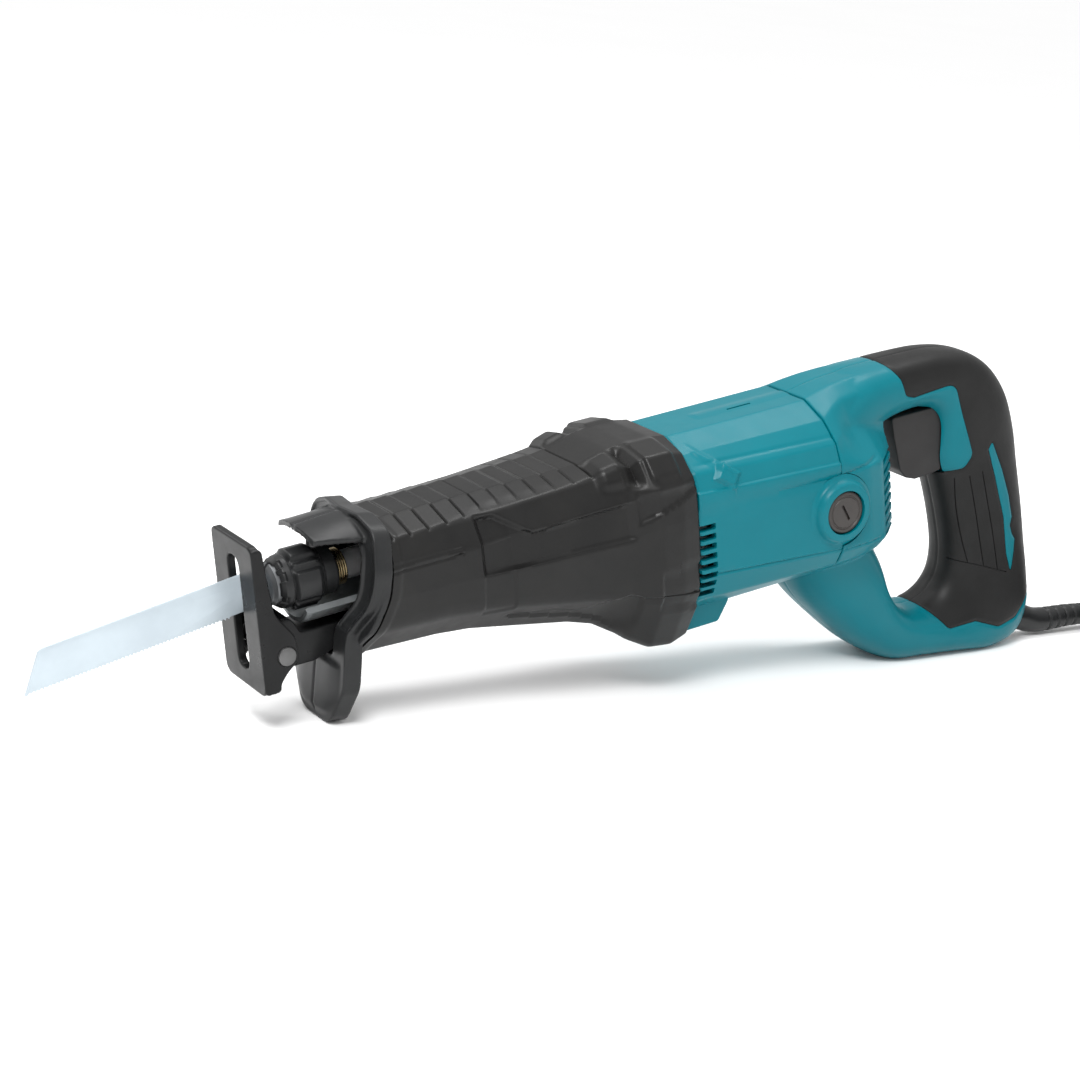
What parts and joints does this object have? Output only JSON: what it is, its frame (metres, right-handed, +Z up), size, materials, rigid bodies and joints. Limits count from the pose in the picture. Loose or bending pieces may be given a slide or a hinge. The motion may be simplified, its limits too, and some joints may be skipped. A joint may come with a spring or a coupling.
{
  "type": "reciprocating saw",
  "caption": "Corded reciprocating saw with a closed D-handle, rubber-wrapped gear nose, hand guard, slotted tilting shoe and a canted blade in a keyless clamp",
  "frame": {"origin": "on the ground under the middle of the saw, its mains lead left out", "axes": "+X towards the handle, -X towards the blade tip, +Y to the tool's right, +Z up; the saw stands on its chin and handle foot, so its stroke axis dips 10.4 degrees towards -X"},
  "size_m": [0.7295, 0.1694, 0.1632],
  "materials": {
    "body_plastic": "satin moulded plastic",
    "boot_rubber": "matt moulded rubber",
    "grip_rubber": "soft matt overmould",
    "black_plastic": "fine matt",
    "cap_plastic": "matt",
    "steel": "ground",
    "blade_steel": "satin",
    "black_steel": "satin black",
    "cast_alloy": "as cast",
    "bronze": "plain",
    "spring_wire": "drawn wire",
    "laminations": "stacked sheet",
    "copper": "enamelled wire",
    "carbon": "pressed carbon",
    "cord_rubber": "satin"
  },
  "bodies": {
    "tool_body": {"armature_bearing_front": "steel", "armature_bearing_rear": "steel", "baffle_plate": "black_plastic", "field_core": "laminations", "field_coil_upper": "copper", "field_coil_lower": "copper", "carbon_brush_left": "carbon", "carbon_brush_right": "carbon", "brush_holder_left": "bronze", "brush_holder_right": "bronze", "brush_cap_left": "cap_plastic", "brush_cap_right": "cap_plastic", "bearing_plate": "cast_alloy", "crank_shaft_bearing": "steel", "rod_bushing_front": "bronze", "rod_bushing_rear": "bronze", "rod_dust_seal": "cord_rubber", "gear_housing": "cast_alloy", "boot": "boot_rubber", "motor_housing": "body_plastic", "handle_shell_left": "body_plastic", "handle_shell_right": "body_plastic", "grip_overmould_left": "grip_rubber", "grip_overmould_right": "grip_rubber", "front_guard": "black_plastic", "switch_body": "black_plastic", "cord_clamp": "black_plastic", "handle_screw_1": "steel", "handle_screw_2": "steel", "handle_screw_3": "steel", "handle_screw_4": "steel", "cord_guard": "cord_rubber", "power_cord": "cord_rubber", "cord_coil": "cord_rubber", "coil_tie": "cord_rubber", "cord_tail": "cord_rubber", "plug": "cord_rubber", "plug_pin_left": "steel", "plug_pin_right": "steel"},
    "blade_drive": {"blade": "blade_steel", "blade_clamp_body": "steel", "clamp_spring": "spring_wire", "reciprocating_rod": "steel", "slider_yoke": "steel"},
    "sleeve": {"clamp_sleeve": "black_plastic"},
    "crank": {"crank_gear": "steel", "crank_pin": "steel", "crank_roller": "steel"},
    "armature": {"armature_shaft": "steel", "armature_windings": "copper", "commutator": "copper", "cooling_fan": "black_plastic"},
    "shoe_arm": {"shoe_bracket": "black_steel", "shoe_pin": "steel"},
    "shoe": {"shoe_plate": "black_steel"},
    "release_button": {"shoe_release_button": "black_plastic"},
    "switch_trigger": {"trigger": "black_plastic"}
  },
  "joints": [
    {"name": "blade_stroke", "type": "slide", "parent": "tool_body", "child": "blade_drive", "axis": [-0.9836, 0, -0.1806], "range_m": [-0.018, 0.01]},
    {"name": "sleeve_turn", "type": "hinge", "parent": "blade_drive", "child": "sleeve", "pos_m": [-0.15615, 0, 0.06767], "axis": [0.9836, 0, 0.1806], "range_deg": [0, 60], "stiffness_Nm_per_rad": 0.1},
    {"name": "crank_spin", "type": "hinge", "parent": "tool_body", "child": "crank", "pos_m": [0.00023, 0, 0.09638], "axis": [-0.1806, 0, 0.9836], "continuous": true},
    {"name": "armature_spin", "type": "hinge", "parent": "tool_body", "child": "armature", "pos_m": [0.08424, 0, 0.08741], "axis": [0.9836, 0, 0.1806], "continuous": true},
    {"name": "shoe_reach", "type": "slide", "parent": "tool_body", "child": "shoe_arm", "axis": [-0.9836, 0, -0.1806], "range_m": [0, 0.03]},
    {"name": "shoe_tilt", "type": "hinge", "parent": "shoe_arm", "child": "shoe", "pos_m": [-0.16898, 0, 0.03786], "axis": [0, -1, 0], "range_deg": [0, 22]},
    {"name": "release_press", "type": "slide", "parent": "tool_body", "child": "release_button", "axis": [-0.1806, 0, 0.9836], "range_m": [0, 0.002], "stiffness_N_per_m": 500},
    {"name": "trigger_squeeze", "type": "slide", "parent": "tool_body", "child": "switch_trigger", "axis": [0.9836, 0, 0.1806], "range_m": [0, 0.007], "stiffness_N_per_m": 900}
  ],
  "couplings": [
    {"joint": "crank_spin", "follows": "armature_spin", "ratio": -0.125}
  ]
}
